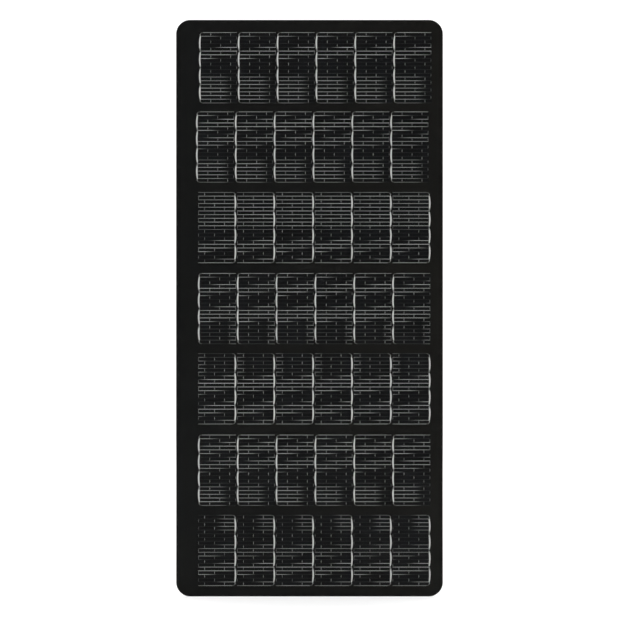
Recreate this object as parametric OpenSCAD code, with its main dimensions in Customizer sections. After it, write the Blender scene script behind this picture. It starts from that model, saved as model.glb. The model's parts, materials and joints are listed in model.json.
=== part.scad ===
// Flexible solar sheet: a black laminate of half-cut cells under free-standing
// wire grids, in rows joined by cell-free bands that bend, with a junction box
// behind the top row.
// Frame: the sheet stands upright and faces -Y, +Z is up, and the rear face of
// the laminate lies in the plane y = 0 with the origin at its centre.

/* [Sheet] */
// Width of the sheet
sheet_w = 585.4; // [570:0.1:640]
// Height of the sheet
sheet_h = 1265.4; // [1255:0.1:1300]
// Radius of the sheet's corners
corner_r = 31; // [5:1:40]
// Height of each bending band between two rows
band_h = 13; // [8:0.5:14]

/* [Layers] */
// Thickness of the clear front film
film_t = 0.25; // [0.1:0.05:0.5]
// Thickness of the encapsulant, with the cells inside it
gel_t = 1.15; // [1.1:0.05:2]
// Thickness of the glass-fibre back sheet
back_t = 1.2; // [0.5:0.1:2]
// Thickness of the encapsulant behind the cells
rear_gel_t = 0.4; // [0.3:0.05:0.5]

/* [Cells] */
// Number of rows
rows = 7; // [7:1:7]
// Cells in a row
cells_per_row = 6; // [2:1:6]
// Width of a half-cut cell
cell_w = 78.4; // [70:0.1:78.4]
// Height of a cell, the full side of its wafer
cell_h = 156.75; // [150:0.05:158]
// Thickness of a cell
cell_t = 0.2; // [0.15:0.01:0.25]
// Size of the cropped corners on the wafer's outer side
crop = 6.5; // [1:0.5:10]
// Distance between neighbouring cells' centres
cell_pitch = 85.3; // [85:0.1:86]
// Distance between neighbouring rows' centres
row_pitch = 176.6; // [175:0.1:178]
// Height of the middle row's centre above the sheet's centre
mid_row_z = -1; // [-3:0.5:3]
// Width of the margin left of the cells
left_margin = 48.5; // [45:0.1:50]

/* [Wiring] */
// Wires on each cell
wires = 20; // [8:1:24]
// Distance between neighbouring wires
wire_pitch = 8.13; // [6:0.01:8.13]
// Width of a wire
wire_w = 1; // [0.4:0.1:1.5]
// Thickness of a wire
wire_t = 0.25; // [0.1:0.05:0.3]
// Width of the interconnect strip between two cells
strip_w = 3.4; // [2.6:0.2:5]
// Width of a ribbon
ribbon_w = 5; // [3:0.5:6]
// Thickness of a ribbon
ribbon_t = 0.2; // [0.1:0.05:0.3]

/* [Junction box] */
// Width of the junction box
box_w = 62; // [56:1:70]
// Height of the junction box
box_h = 100; // [90:1:120]
// Depth of the box's base
base_d = 13; // [12:0.5:16]
// Thickness of the box's walls
wall_t = 2.2; // [1.8:0.1:3]
// Radius of the box's corners
box_r = 6; // [3:0.5:8]
// Thickness of the lid
lid_t = 3; // [2:0.5:4]
// Radius of the cable that a gland takes
cable_r = 3.1; // [2.5:0.1:3.5]

/* [Hidden] */
$fn = 48;
eps = 0.01;

// Rows whose interconnect strips stand on the left of their cells
STRIP_LEFT = [true, true, false, true, false, true, false];
// How far each row was laid to the right of its place, and above it
ROW_RIGHT = [2.3, -4.2, -0.8, 0, -0.8, 0, -0.8];
ROW_UP = [-1, 1.6, 1.3, 0, 0.6, -1.5, -1];

// Layers, from the rear face at y = 0 towards the front
y_back = -back_t;
y_cell_back = y_back - rear_gel_t;
y_cell_front = y_cell_back - cell_t;
y_wire_front = y_cell_front - wire_t;
y_gel_front = y_back - gel_t;
y_film_front = y_gel_front - film_t;
y_ribbon_back = y_cell_back + ribbon_t;

// Columns
gap = cell_pitch - cell_w;
strip_gap = (gap - strip_w) / 2;
block_left = -sheet_w / 2 + left_margin;
block_w = cells_per_row * cell_pitch - strip_gap;
grid_h = (wires - 1) * wire_pitch;

// Ribbons in the margins
left_link_x = block_left - 10;
right_link_x = block_left + block_w + 7.5;
return_x = block_left - 20.5;
tap_reach = 3;
tab_h = 12;

// Junction box, behind the left end of the top row
pad_t = 0.8;
box_x = -sheet_w / 2 + box_w / 2 + 10;
y_base = pad_t;
y_lid = y_base + base_d;
screw_inset = 6;
boss_r = 4;
plate_y = y_base + 4;
post_t = 0.6;
play = 0.05;
plate_w = 18;
plate_h = 30;
plate_t = 1.2;
plate_dx = 13;
clamp_up = 12;
clamp_r = 1.5;
screw_r = 1.25;
head_r = 2.8;
head_sink = 1.6;

// Cable glands, pointing down out of the box
gland_dx = 15;
gland_y = y_base + (wall_t + base_d) / 2;
thread_r = 5;
gland_r = 5.6;
neck_l = 9;
seal_r = 4.4;
seal_l = 8;
cap_l = 13;
mouth_r = cable_r + 0.5;

function row_z(i) = mid_row_z + (4 - i) * row_pitch;
function cells_z(i) = row_z(i) + ROW_UP[i - 1];
function row_left(i) = block_left + ROW_RIGHT[i - 1];
function row_right(i) = row_left(i) + block_w;
function band_z(k) = (row_z(k) + row_z(k + 1)) / 2;
function segment_top(i) = i == 1 ? sheet_h / 2 : band_z(i - 1) - band_h / 2;
function segment_low(i) = i == rows ? -sheet_h / 2 : band_z(i) + band_h / 2;
function strip_left(i) = STRIP_LEFT[i - 1];
// Left edge of cell c and of its strip in row i
function cell_x(i, c) = row_left(i) + c * cell_pitch + (strip_left(i) ? strip_w + strip_gap : 0);
function strip_x(i, c) = row_left(i) + c * cell_pitch + (strip_left(i) ? 0 : cell_w + strip_gap);
// The side on which the link between rows k and k + 1 runs
function link_side(k) = k % 2 == 0 ? "right" : "left";

ROW_PIECES = ["front_film", "encapsulant", "cells", "wire_grid", "back_sheet"];
BAND_PIECES = ["flex_band", "link_ribbons"];
BOX_PIECES = [
    "output_ribbons", "box_pad", "box_base", "box_lid", "lid_seal", "lid_screws",
    "terminal_plates", "terminal_screws", "bypass_diode",
    "gland_bodies", "gland_seals", "gland_caps"
];

// Extrudes an outline drawn as the sheet is seen from the front, x to the
// right and y up, from depth y_near (front) to y_far (rear)
module layer(y_near, y_far) {
    translate([0, y_far, 0]) rotate([90, 0, 0]) linear_extrude(y_far - y_near) children();
}

module box_between(x, y, z) {
    translate([x[0], y[0], z[0]]) cube([x[1] - x[0], y[1] - y[0], z[1] - z[0]]);
}

// Outline of a row's segment of the sheet; the end rows have round corners
module segment_outline(i) {
    low = segment_low(i);
    top = segment_top(i);
    low_r = i == rows ? corner_r : 0;
    top_r = i == 1 ? corner_r : 0;
    translate([-sheet_w / 2, low + low_r]) square([sheet_w, top - low - low_r - top_r]);
    if (low_r > 0) round_end(low + corner_r, low);
    if (top_r > 0) round_end(top - corner_r, top - corner_r);
}

// A strip of the sheet's width with two round corners centred at height z
module round_end(z, low) {
    for (s = [-1, 1]) translate([s * (sheet_w / 2 - corner_r), z]) circle(corner_r, $fn = 96);
    translate([-sheet_w / 2 + corner_r, low]) square([sheet_w - 2 * corner_r, corner_r]);
}

// Half-cut cell: the cropped corners are on the side of its strip
module cell_outline(i, c) {
    x = cell_x(i, c);
    z = cells_z(i) - cell_h / 2;
    translate([x + (strip_left(i) ? 0 : cell_w), z]) mirror([strip_left(i) ? 0 : 1, 0]) polygon([
        [crop, 0], [cell_w, 0], [cell_w, cell_h], [crop, cell_h], [0, cell_h - crop], [0, crop]
    ]);
}

module front_film(i) {
    color("#15171a", 0.4) layer(y_film_front, y_gel_front) segment_outline(i);
}

module encapsulant(i) {
    z = cells_z(i);
    color("#101214", 0.6) difference() {
        layer(y_gel_front, y_back) segment_outline(i);
        layer(y_cell_front, y_cell_back) for (c = [0:cells_per_row - 1]) cell_outline(i, c);
        for (c = [0:cells_per_row - 1]) grid_pocket(i, c);
        if (i > 1) ribbons(i - 1);
        if (i < rows) ribbons(i);
        if (i == 1) output_posts();
    }
}

// The room that a cell's grid and strip take in the encapsulant
module grid_pocket(i, c) {
    z = [cells_z(i) - cell_h / 2, cells_z(i) + cell_h / 2];
    x = min(cell_x(i, c), strip_x(i, c));
    box_between([x, x + cell_w + strip_gap + strip_w], [y_wire_front, y_cell_front], z);
    box_between([strip_x(i, c), strip_x(i, c) + strip_w], [y_cell_front, y_ribbon_back], z);
}

module cells(i) {
    color("#0c1017") layer(y_cell_front, y_cell_back)
        for (c = [0:cells_per_row - 1]) cell_outline(i, c);
}

// One comb of wires for each cell, standing on its interconnect strip
module wire_grid(i) {
    for (c = [0:cells_per_row - 1]) color("#c9ccce") {
        layer(y_wire_front, y_cell_front)
            translate([strip_left(i) ? strip_x(i, c) : strip_x(i, c) + strip_w, cells_z(i)])
            mirror([strip_left(i) ? 0 : 1, 0]) comb();
        box_between([strip_x(i, c), strip_x(i, c) + strip_w], [y_cell_front, y_ribbon_back],
                    [cells_z(i) - grid_h / 2, cells_z(i) + grid_h / 2]);
    }
}

// Strip at x = 0 with the wires pointing to +x
module comb() {
    reach = strip_w + strip_gap + cell_w - 1;
    low = -grid_h / 2 - wire_w / 2;
    teeth = [for (w = [0:wires - 1]) let (z = low + w * wire_pitch) each [
        [strip_w, z], [reach, z], [reach, z + wire_w], [strip_w, z + wire_w]
    ]];
    polygon(concat([[0, low]], teeth, [[0, -low]]));
}

module back_sheet(i) {
    color("#1b1c1e") difference() {
        layer(y_back, 0) segment_outline(i);
        if (i == 1) output_posts();
    }
}

// The laminate between rows k and k + 1, with room for the ribbons
module flex_band(k) {
    color("#17191b") difference() {
        box_between([-sheet_w / 2, sheet_w / 2], [y_film_front, 0],
                    [band_z(k) - band_h / 2, band_z(k) + band_h / 2]);
        ribbons(k);
    }
}

module link_ribbons(k) {
    color("#2a2b2d") ribbons(k);
}

// The link between rows k and k + 1 and the stretch of return ribbon beside it
module ribbons(k) {
    layer(y_cell_back, y_ribbon_back) {
        translate([return_x - ribbon_w / 2, cells_z(k + 1)])
            square([ribbon_w, cells_z(k) - cells_z(k + 1)]);
        if (k == rows - 1) tab("left", rows, return_x);
        if (k == 1) crossover();
        else link(k, link_side(k) == "right" ? right_link_x : left_link_x);
    }
}

module link(k, x) {
    low = cells_z(k + 1) - tab_h / 2;
    translate([x - ribbon_w / 2, low]) square([ribbon_w, cells_z(k) + tab_h / 2 - low]);
    tab(link_side(k), k, x);
    tab(link_side(k), k + 1, x);
}

// Short cross piece from a ribbon at x to the end of a row's string; it slips
// behind the end cell where the row ends in one
module tab(side, i, x) {
    edge = side == "left" ? row_left(i) : row_right(i);
    ends_in_strip = (side == "left") == strip_left(i);
    stop = edge + (ends_in_strip ? 0 : side == "left" ? tap_reach : -tap_reach);
    z = cells_z(i) + (side == "left" && i == rows ? 0 : -tab_h / 2);
    translate([min(x, stop), z]) square([abs(stop - x), tab_h]);
}

// From the left end of row 2, along the first band, to the right end of row 1
module crossover() {
    z = band_z(1) - ribbon_w / 2;
    translate([left_link_x - ribbon_w / 2, cells_z(2) - tab_h / 2])
        square([ribbon_w, z - cells_z(2) + tab_h / 2]);
    translate([left_link_x - ribbon_w / 2, z])
        square([right_link_x - left_link_x + ribbon_w, ribbon_w]);
    translate([right_link_x - ribbon_w / 2, z])
        square([ribbon_w, cells_z(1) + tab_h / 2 - z]);
    tab("left", 2, left_link_x);
    tab("right", 1, right_link_x);
}

// Ribbon ends that stand up behind the return ribbon's end and behind the
// first strip of row 1, and pass through the back sheet into the box
module output_posts() {
    for (x = [return_x, row_left(1) + strip_w / 2])
        box_between([x - ribbon_w / 2, x + ribbon_w / 2], [y_ribbon_back, plate_y],
                    [cells_z(1) - post_t, cells_z(1)]);
}

module output_ribbons() {
    color("#c9ccce") output_posts();
}

// Rounded rectangle of the junction box's plan, grown by g
module box_outline(g) {
    w = box_w + 2 * g;
    h = box_h + 2 * g;
    r = box_r + g;
    translate([box_x, cells_z(1)]) {
        square([w - 2 * r, h], center = true);
        square([w, h - 2 * r], center = true);
        for (sx = [-1, 1]) for (sz = [-1, 1])
            translate([sx * (w / 2 - r), sz * (h / 2 - r)]) circle(r);
    }
}

module at_lid_screws() {
    for (sx = [-1, 1]) for (sz = [-1, 1])
        translate([box_x + sx * (box_w / 2 - screw_inset), 0,
                   cells_z(1) + sz * (box_h / 2 - screw_inset)]) rotate([-90, 0, 0]) children();
}

module at_glands() {
    for (s = [-1, 1])
        translate([box_x + s * gland_dx, gland_y, cells_z(1) - box_h / 2]) children();
}

module at_plates() {
    for (s = [-1, 1]) translate([box_x + s * plate_dx, plate_y, cells_z(1) + 6]) children();
}

// On a plate, the place of its screw, with the head pointing out of the box
module at_terminal() {
    translate([0, 0, clamp_up]) rotate([-90, 0, 0]) children();
}

module box_pad() {
    color("#2c2c2e") difference() {
        layer(0, pad_t) box_outline(-1);
        output_posts();
    }
}

module box_base() {
    color("#141516") difference() {
        union() {
            difference() {
                layer(y_base, y_lid) box_outline(0);
                layer(y_base + wall_t, y_lid + eps) box_outline(-wall_t);
            }
            intersection() {
                at_lid_screws() translate([0, 0, y_base]) cylinder(r = boss_r, h = base_d);
                layer(y_base, y_lid) box_outline(0);
            }
            // two stands under each terminal plate
            at_plates() for (dz = [-10, 12])
                translate([-5, y_base - plate_y, dz - 2]) cube([10, plate_y - y_base, 4]);
        }
        at_lid_screws() translate([0, 0, y_base + wall_t])
            cylinder(r = screw_r + play, h = base_d);
        at_glands() translate([0, 0, -1]) cylinder(r = thread_r + play, h = wall_t + 2);
        output_posts();
        at_plates() at_terminal() translate([0, 0, -2 - play])
            cylinder(r = clamp_r + play, h = 4);
    }
}

module lid_seal() {
    color("#3a3b3d") difference() {
        layer(y_lid, y_lid + 1) box_outline(-0.4);
        layer(y_lid - eps, y_lid + 1 + eps) box_outline(-2);
    }
}

module box_lid() {
    color("#181a1b") difference() {
        layer(y_lid, y_lid + lid_t) box_outline(0);
        difference() {
            layer(y_lid - eps, y_lid + 1) box_outline(-0.4);
            layer(y_lid - 2 * eps, y_lid + 1 + eps) box_outline(-2);
        }
        at_lid_screws() translate([0, 0, y_lid - eps]) cylinder(r = 1.6, h = lid_t + 1);
        at_lid_screws() translate([0, 0, y_lid + head_sink]) cylinder(r = head_r + 0.2, h = lid_t);
    }
}

module lid_screws() {
    color("#a9acae") at_lid_screws() difference() {
        union() {
            translate([0, 0, y_lid - 8]) cylinder(r = screw_r, h = 8 + head_sink);
            translate([0, 0, y_lid + head_sink]) cylinder(r = head_r, h = 1.2);
        }
        translate([-2, -0.35, y_lid + 2.2]) cube([4, 0.7, 2]);
        translate([-0.35, -2, y_lid + 2.2]) cube([0.7, 4, 2]);
    }
}

module terminal_plates() {
    color("#c8b078") at_plates() difference() {
        translate([-plate_w / 2, 0, -plate_h / 2]) cube([plate_w, plate_t, plate_h]);
        at_terminal() translate([0, 0, -1]) cylinder(r = clamp_r + play, h = 4);
    }
}

module terminal_screws() {
    color("#a9acae") at_plates() at_terminal() {
        translate([0, 0, -2]) cylinder(r = clamp_r, h = 2 + plate_t);
        translate([0, 0, plate_t]) cylinder(r = head_r, h = 2);
    }
}

// A barrel across the two plates, standing on its two leads
module bypass_diode() {
    y = plate_y + plate_t;
    z = cells_z(1) - 2;
    color("#1d1e20") translate([box_x - 5, y + 3.5, z]) rotate([0, 90, 0]) cylinder(r = 2.8, h = 10);
    color("#c9ccce") for (s = [-1, 1]) {
        translate([box_x + (s < 0 ? -9 : 5), y + 3.5, z]) rotate([0, 90, 0]) cylinder(r = 0.6, h = 4);
        translate([box_x + s * 8.4, y, z]) rotate([-90, 0, 0]) cylinder(r = 0.6, h = 3.5);
    }
}

// Threaded tube with a six-sided flange, open from end to end
module gland_bodies() {
    color("#1c1d1f") at_glands() difference() {
        union() {
            translate([0, 0, -neck_l]) cylinder(r = thread_r, h = neck_l + wall_t + 4);
            translate([0, 0, -3]) cylinder(r = gland_r + 1.2, h = 3, $fn = 6);
        }
        translate([0, 0, -neck_l - 1]) cylinder(r = mouth_r, h = 40);
        translate([0, 0, -neck_l - 1]) cylinder(r = seal_r + play, h = seal_l + 1);
    }
}

module gland_seals() {
    color("#4a4b4c") at_glands() translate([0, 0, -neck_l]) difference() {
        cylinder(r = seal_r, h = seal_l);
        translate([0, 0, -1]) cylinder(r = cable_r, h = seal_l + 2);
    }
}

// Cap nut over the end of the body
module gland_caps() {
    color("#1c1d1f") at_glands() translate([0, 0, -3.5 - cap_l]) difference() {
        union() {
            cylinder(r = gland_r + 1, h = cap_l, $fn = 6);
            translate([0, 0, -2]) cylinder(r1 = gland_r - 0.6, r2 = gland_r + 0.2, h = 2);
        }
        translate([0, 0, -3]) cylinder(r = mouth_r, h = cap_l + 4);
        translate([0, 0, cap_l - neck_l + 3.5]) cylinder(r = thread_r + play, h = neck_l);
    }
}

for (i = [1:rows]) {
    front_film(i);
    encapsulant(i);
    cells(i);
    wire_grid(i);
    back_sheet(i);
}
for (k = [1:rows - 1]) {
    flex_band(k);
    link_ribbons(k);
}
output_ribbons();
box_pad();
box_base();
box_lid();
lid_seal();
lid_screws();
terminal_plates();
terminal_screws();
bypass_diode();
gland_bodies();
gland_seals();
gland_caps();
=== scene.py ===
"""Flexible solar sheet: wire grids, laminate, bending bands and junction box, built round the CAD frame."""

import json
import math

import bmesh
import bpy
import numpy as np
from mathutils import Vector
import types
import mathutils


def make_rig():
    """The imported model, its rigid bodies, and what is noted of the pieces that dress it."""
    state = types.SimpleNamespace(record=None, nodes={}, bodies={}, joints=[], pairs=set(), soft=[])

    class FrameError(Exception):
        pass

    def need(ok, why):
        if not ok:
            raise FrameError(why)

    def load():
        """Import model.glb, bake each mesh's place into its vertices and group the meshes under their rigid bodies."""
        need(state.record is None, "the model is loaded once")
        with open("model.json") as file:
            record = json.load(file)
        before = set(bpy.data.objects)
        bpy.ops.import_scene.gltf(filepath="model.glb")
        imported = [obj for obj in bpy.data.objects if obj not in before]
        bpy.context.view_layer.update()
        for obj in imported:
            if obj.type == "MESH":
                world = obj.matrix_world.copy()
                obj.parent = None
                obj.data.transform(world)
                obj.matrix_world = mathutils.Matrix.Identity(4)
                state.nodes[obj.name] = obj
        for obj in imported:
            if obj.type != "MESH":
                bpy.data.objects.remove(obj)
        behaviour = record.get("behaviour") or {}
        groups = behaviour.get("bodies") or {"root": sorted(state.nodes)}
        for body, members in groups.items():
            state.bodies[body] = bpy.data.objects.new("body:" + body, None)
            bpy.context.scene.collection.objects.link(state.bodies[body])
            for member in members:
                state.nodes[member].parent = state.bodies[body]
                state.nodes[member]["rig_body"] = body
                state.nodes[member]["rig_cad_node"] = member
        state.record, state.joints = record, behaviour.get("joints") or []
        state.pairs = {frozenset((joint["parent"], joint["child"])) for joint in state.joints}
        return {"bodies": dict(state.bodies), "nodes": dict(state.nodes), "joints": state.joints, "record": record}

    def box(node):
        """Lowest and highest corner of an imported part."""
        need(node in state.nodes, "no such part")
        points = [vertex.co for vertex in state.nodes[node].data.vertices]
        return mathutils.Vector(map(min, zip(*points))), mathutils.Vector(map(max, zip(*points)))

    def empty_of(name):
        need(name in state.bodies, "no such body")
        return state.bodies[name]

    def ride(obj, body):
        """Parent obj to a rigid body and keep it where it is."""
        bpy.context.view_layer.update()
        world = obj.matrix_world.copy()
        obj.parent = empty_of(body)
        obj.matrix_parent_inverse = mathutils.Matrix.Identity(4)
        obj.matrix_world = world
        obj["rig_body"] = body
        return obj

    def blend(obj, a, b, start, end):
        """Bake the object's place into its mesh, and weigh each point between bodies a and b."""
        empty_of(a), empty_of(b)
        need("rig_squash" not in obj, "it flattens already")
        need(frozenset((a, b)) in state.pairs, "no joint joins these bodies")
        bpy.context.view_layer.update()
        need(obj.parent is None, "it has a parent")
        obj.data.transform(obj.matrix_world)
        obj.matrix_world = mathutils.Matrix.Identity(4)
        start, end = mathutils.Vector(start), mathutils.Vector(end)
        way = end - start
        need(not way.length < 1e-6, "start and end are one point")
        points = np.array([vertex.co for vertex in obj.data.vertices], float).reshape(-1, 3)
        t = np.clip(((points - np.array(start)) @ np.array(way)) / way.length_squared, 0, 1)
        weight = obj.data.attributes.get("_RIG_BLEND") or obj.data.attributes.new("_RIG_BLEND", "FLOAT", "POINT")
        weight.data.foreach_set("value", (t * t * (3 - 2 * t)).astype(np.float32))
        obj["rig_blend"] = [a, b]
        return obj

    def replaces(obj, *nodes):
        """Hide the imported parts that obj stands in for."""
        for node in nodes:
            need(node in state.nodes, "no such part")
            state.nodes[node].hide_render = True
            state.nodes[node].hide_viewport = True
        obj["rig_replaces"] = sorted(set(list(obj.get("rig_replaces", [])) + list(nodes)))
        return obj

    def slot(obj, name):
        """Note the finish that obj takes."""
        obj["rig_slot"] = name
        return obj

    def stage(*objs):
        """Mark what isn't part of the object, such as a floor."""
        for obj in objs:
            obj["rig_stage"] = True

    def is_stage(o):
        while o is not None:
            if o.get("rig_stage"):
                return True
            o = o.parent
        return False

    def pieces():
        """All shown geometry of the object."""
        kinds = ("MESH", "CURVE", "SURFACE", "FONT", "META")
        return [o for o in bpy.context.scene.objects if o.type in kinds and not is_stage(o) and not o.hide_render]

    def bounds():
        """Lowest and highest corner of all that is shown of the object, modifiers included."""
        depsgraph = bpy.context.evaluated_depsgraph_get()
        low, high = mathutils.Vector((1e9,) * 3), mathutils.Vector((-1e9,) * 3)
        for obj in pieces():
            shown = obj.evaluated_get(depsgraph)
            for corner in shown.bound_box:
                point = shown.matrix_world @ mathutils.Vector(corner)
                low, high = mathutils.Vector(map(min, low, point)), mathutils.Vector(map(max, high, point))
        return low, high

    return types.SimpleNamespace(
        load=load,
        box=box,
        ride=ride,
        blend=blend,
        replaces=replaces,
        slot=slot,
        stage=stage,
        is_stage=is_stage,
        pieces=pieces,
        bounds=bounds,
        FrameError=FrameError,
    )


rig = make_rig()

bl_info = {
    "name": "Flexible Solar Sheet",
    "version": (1, 0, 0),
    "blender": (4, 5, 0),
    "location": "View3D > Sidebar > Solar Sheet",
    "description": "Builds the visible pieces and finishes of a flexible solar sheet",
    "category": "Object",
}

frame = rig.load()
cad_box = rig.bounds()

ROWS = range(1, 1 + sum(name.startswith("cells_") for name in frame["nodes"]))
BANDS = ROWS[:-1]
MM = 0.001

# Room between layers that would otherwise touch: behind the film, and from the wafers to the core
FILM_GAP, CELL_PROUD = 0.04 * MM, 0.02 * MM

# Layers of the laminate, as depths along Y, front to rear
FILM_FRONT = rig.box("front_film_1")[0][1]
FILM_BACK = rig.box("front_film_1")[1][1]
CORE_FRONT = FILM_BACK + FILM_GAP
CELL_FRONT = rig.box("cells_1")[0][1]
BACK_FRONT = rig.box("back_sheet_1")[0][1]
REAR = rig.box("back_sheet_1")[1][1]
SHEET_LEFT, SHEET_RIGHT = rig.box("front_film_2")[0][0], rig.box("front_film_2")[1][0]
SHEET_LOW, SHEET_TOP = cad_box[0][2], cad_box[1][2]

# Painted highlight on the wires of each row: how brightly each stretch is painted as catching the light.
# Wires are counted from the row's top, or from its bottom where the strips are on the right. Each row
# gives, at its strips, the wire of its narrow painted bright band, then the wire, half height and level of
# its wide painted band, and then the wire where its last painted field begins, with that field's level
# beside the strip, how far across the cell it keeps it, and its level at the wires' free ends.
ROW_PAINTED_GLINT = (
    (6.3, 0.0, 1.0, 0.00, 12.0, 0.78, 0.72, 0.00),
    (4.5, 8.9, 1.3, 0.68, 13.2, 0.72, 0.75, 0.00),
    (5.6, 0.0, 1.0, 0.00, 9.6, 0.80, 0.80, 0.70),
    (5.1, 11.8, 1.9, 1.00, 13.2, 0.08, 0.70, 0.60),
    (5.1, 11.6, 1.9, 1.00, 13.2, 0.08, 0.70, 0.60),
    (4.5, 8.9, 1.3, 0.75, 13.8, 0.80, 0.66, 0.00),
    (5.5, 10.3, 1.4, 0.55, 15.0, 0.62, 0.40, 0.00),
)
# The slant of a painted bright band (painted highlight), in wires across one cell, and the softness of its edges, in
# wires
BAND_CLIMB, BAND_EDGE = 1.9, 0.35
# Painted highlight: brightness and half height of every row's first bright band and of its narrow band, and where the
# first lies
FIRST_PAINTED_GLINT, FIRST_WIRE, FIRST_HALF = 0.75, 0.6, 1.1
NARROW_PAINTED_GLINT, NARROW_HALF = 0.95, 1.3
# Painted highlight of the first wire of every cell
END_WIRE_PAINTED_GLINT = 0.45
# Painted highlight of a link where its wires are painted as lit, and of the dot at its middle everywhere
LINK_PAINTED_GLINT, DOT_PAINTED_GLINT = 0.28, 0.28
# Where the links stand, as a share of the wires' reach, and the gap between wires that each line starts in
LINK_LINES = ((0.29, 0), (0.56, 1), (0.83, 0), (0.994, 1))

# What a point of a grid belongs to, in its "part" attribute
WIRE, STRIP, LINK = 0.0, 1.0, 2.0
# Lengths that a strip is bowed into, and points along it, along a wire and along a link
STRIP_LENGTHS = 4
STRIP_POINTS, WIRE_POINTS, LINK_POINTS = 65, 9, 5
STRIP_SIDES, WIRE_SIDES = 10, 6

CORNER_STEPS = 16
EDGE_STEPS, EDGE_ANGLE = 3, math.radians(40)
JUNCTION_BOX = (
    ("box_base", 0.5 * MM, "box_plastic"),
    ("box_lid", 0.7 * MM, "box_plastic"),
    ("gland_bodies", 0.25 * MM, "box_plastic"),
    ("gland_caps", 0.4 * MM, "box_plastic"),
    ("lid_screws", 0.15 * MM, "screw_steel"),
)
# Name, place, size and power of each soft light
LIGHTS = (
    ("key", (-2.6, -3.4, 2.2), 1.6, 90.0),
    ("fill", (3.4, -2.6, 0.9), 1.8, 30.0),
    ("rear", (0.8, 3.6, 2.4), 2.0, 90.0),
)
SENSOR_WIDTH, FAR_CLIP = 36.0, 100.0


# ---------------------------------------------------------------- nodes

class Socket:
    """A node's output. Python's operators on it add Math nodes."""

    def __init__(self, graph, output):
        self.graph, self.output = graph, output

    def of(self, name):
        """Another output of the same node."""
        return Socket(self.graph, self.output.node.outputs[name])

    def math(self, operation, *values):
        return self.graph.math(operation, self, *values)

    def __add__(self, other):
        return self.math("ADD", other)

    __radd__ = __add__

    def __mul__(self, other):
        return self.math("MULTIPLY", other)

    __rmul__ = __mul__

    def __sub__(self, other):
        return self.math("SUBTRACT", other)

    def __rsub__(self, other):
        return self.graph.math("SUBTRACT", other, self)

    def __truediv__(self, other):
        return self.math("DIVIDE", other)

    def __rtruediv__(self, other):
        return self.graph.math("DIVIDE", other, self)

    def __pow__(self, other):
        return self.math("POWER", other)

    def __neg__(self):
        return self.math("MULTIPLY", -1.0)


class Graph:
    """Adds nodes to one shader or geometry tree."""

    def __init__(self, tree):
        self.tree = tree

    def node(self, kind, settings=None, sockets=None):
        """A node of this kind, its settings made first, then its sockets set or linked."""
        made = self.tree.nodes.new(kind)
        for name, value in (settings or {}).items():
            setattr(made, name, value)
        for name, value in (sockets or {}).items():
            for one in value if isinstance(value, list) else [value]:
                if isinstance(one, Socket):
                    self.tree.links.new(one.output, made.inputs[name])
                else:
                    made.inputs[name].default_value = one
        return Socket(self, made.outputs[0]) if made.outputs else None

    def math(self, operation, *values):
        return self.node("ShaderNodeMath", {"operation": operation}, dict(enumerate(values)))

    def mix(self, share, first, second):
        """A colour between two others."""
        made = self.node("ShaderNodeMix", {"data_type": "RGBA"}, {0: share, 6: first, 7: second})
        return made.of(2)

    def smooth(self, value, low, high):
        """0 below low, 1 above high, and a smooth step between."""
        settings = {"interpolation_type": "SMOOTHSTEP"}
        return self.node("ShaderNodeMapRange", settings, {"Value": value, "From Min": low, "From Max": high})

    def vector(self, x=0.0, y=0.0, z=0.0):
        return self.node("ShaderNodeCombineXYZ", {}, {0: x, 1: y, 2: z})

    def place(self):
        """Object coordinates, in metres."""
        return self.node("ShaderNodeTexCoord").of("Object")

    def parts(self, vector):
        split = self.node("ShaderNodeSeparateXYZ", {}, {0: vector})
        return split.of("X"), split.of("Y"), split.of("Z")

    def noise(self, vector, scale, detail=2.0, roughness=0.5):
        sockets = {"Vector": vector, "Scale": scale, "Detail": detail, "Roughness": roughness}
        return self.node("ShaderNodeTexNoise", {}, sockets)

    def bump(self, height, distance):
        """A normal from a height between 0 and 1 that stands for this distance."""
        return self.node("ShaderNodeBump", {}, {"Height": height, "Distance": distance, "Strength": 1.0})


def grey(value):
    return (value, value, value, 1.0)


def opaque(colour):
    return (*colour, 1.0)


def new_surface(name):
    """An empty material and the graph that fills it."""
    made = bpy.data.materials.new(name)
    made.use_nodes = True
    made.node_tree.nodes.clear()
    return made, Graph(made.node_tree)


def principled(graph, sockets):
    shader = graph.node("ShaderNodeBsdfPrincipled", {}, sockets)
    graph.node("ShaderNodeOutputMaterial", {}, {"Surface": shader})


# ---------------------------------------------------------------- finishes

def clear_film(look):
    """Clear weather film. It is glossy only edgeways: seen from the front, its gloss is the coat of the
    black layers that it is bonded to."""
    made, g = new_surface("clear_film")
    place = g.place()
    normal = g.bump(g.noise(place, 14.0, 1.0), look.film_wave)
    away = g.node("ShaderNodeLayerWeight", {}, {"Blend": 0.5}).of("Facing")
    mottle = g.smooth(g.noise(place, 60.0, 3.0), 0.3, 0.7)
    gloss = g.node("ShaderNodeBsdfGlossy", {}, {"Roughness": 0.2 + 0.06 * mottle, "Normal": normal})
    through = g.node("ShaderNodeBsdfTransparent", {}, {"Color": grey(0.97)})
    share = look.film_sheen * g.smooth(away, 0.5, 1.0)
    film = g.node("ShaderNodeMixShader", {}, {0: share, 1: through, 2: gloss})
    g.node("ShaderNodeOutputMaterial", {}, {"Surface": film})
    return made


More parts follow.
